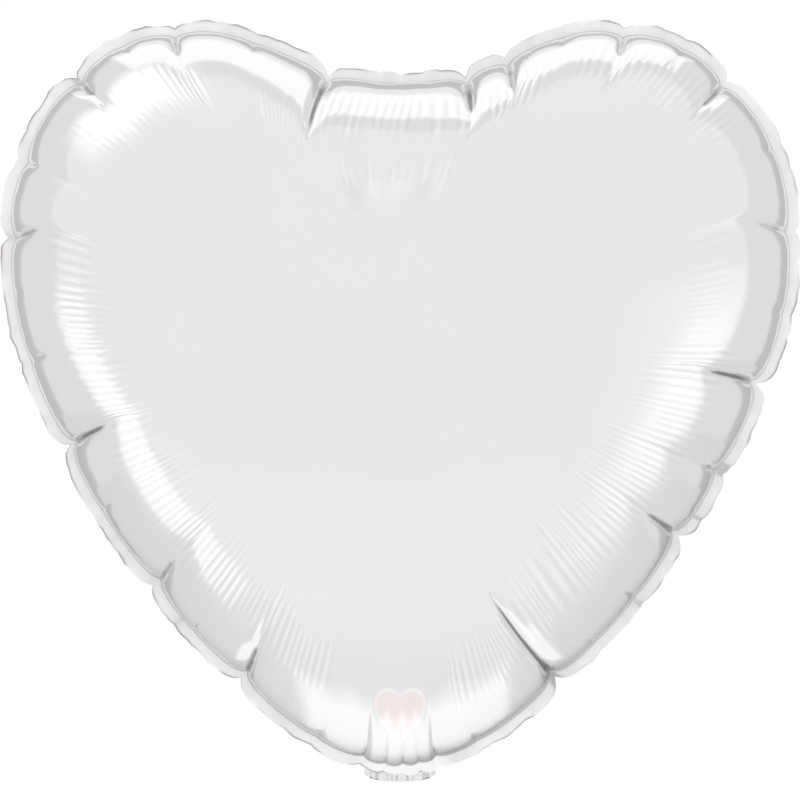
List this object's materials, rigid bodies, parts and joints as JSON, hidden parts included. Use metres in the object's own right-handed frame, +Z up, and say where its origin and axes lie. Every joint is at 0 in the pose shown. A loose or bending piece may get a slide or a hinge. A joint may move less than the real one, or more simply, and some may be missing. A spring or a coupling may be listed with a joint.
{
  "type": "heart-shaped foil balloon",
  "caption": "Filled heart-shaped foil balloon: two sealed panels with gathered edges, a folded-up filling tail and a two-film self-sealing valve.",
  "frame": {"origin": "on the tail's crease at the tip of the heart, in the plane of the seam", "axes": "+X to the right as seen from the front, +Y from the front panel to the rear panel, +Z up from the tip to the notch"},
  "size_m": [0.3836, 0.1764, 0.3631],
  "materials": {
    "foil_front": "pearl white satin foil",
    "foil_rear": "pearl white satin foil",
    "foil_tail_front": "pearl white satin foil",
    "foil_tail_rear": "pearl white satin foil",
    "film_front": "milky clear film",
    "film_rear": "milky clear film",
    "film_tail_front": "milky clear film",
    "film_tail_rear": "milky clear film"
  },
  "bodies": {
    "envelope": {"front_panel": "foil_front", "rear_panel": "foil_rear"},
    "tail": {"tail_front_ply": "foil_tail_front", "tail_rear_ply": "foil_tail_rear", "valve_front_tail": "film_tail_front", "valve_rear_tail": "film_tail_rear"},
    "valve": {"valve_front_film": "film_front", "valve_rear_film": "film_rear"}
  },
  "joints": [
    {"name": "tail_fold", "type": "hinge", "parent": "envelope", "child": "tail", "pos_m": [0, 0, 0], "axis": [-1, 0, 0], "range_deg": [0, 265]},
    {"name": "valve_sway", "type": "hinge", "parent": "envelope", "child": "valve", "pos_m": [0, 0, 0], "axis": [1, 0, 0], "range_deg": [-10, 10], "stiffness_Nm_per_rad": 0.0003}
  ]
}
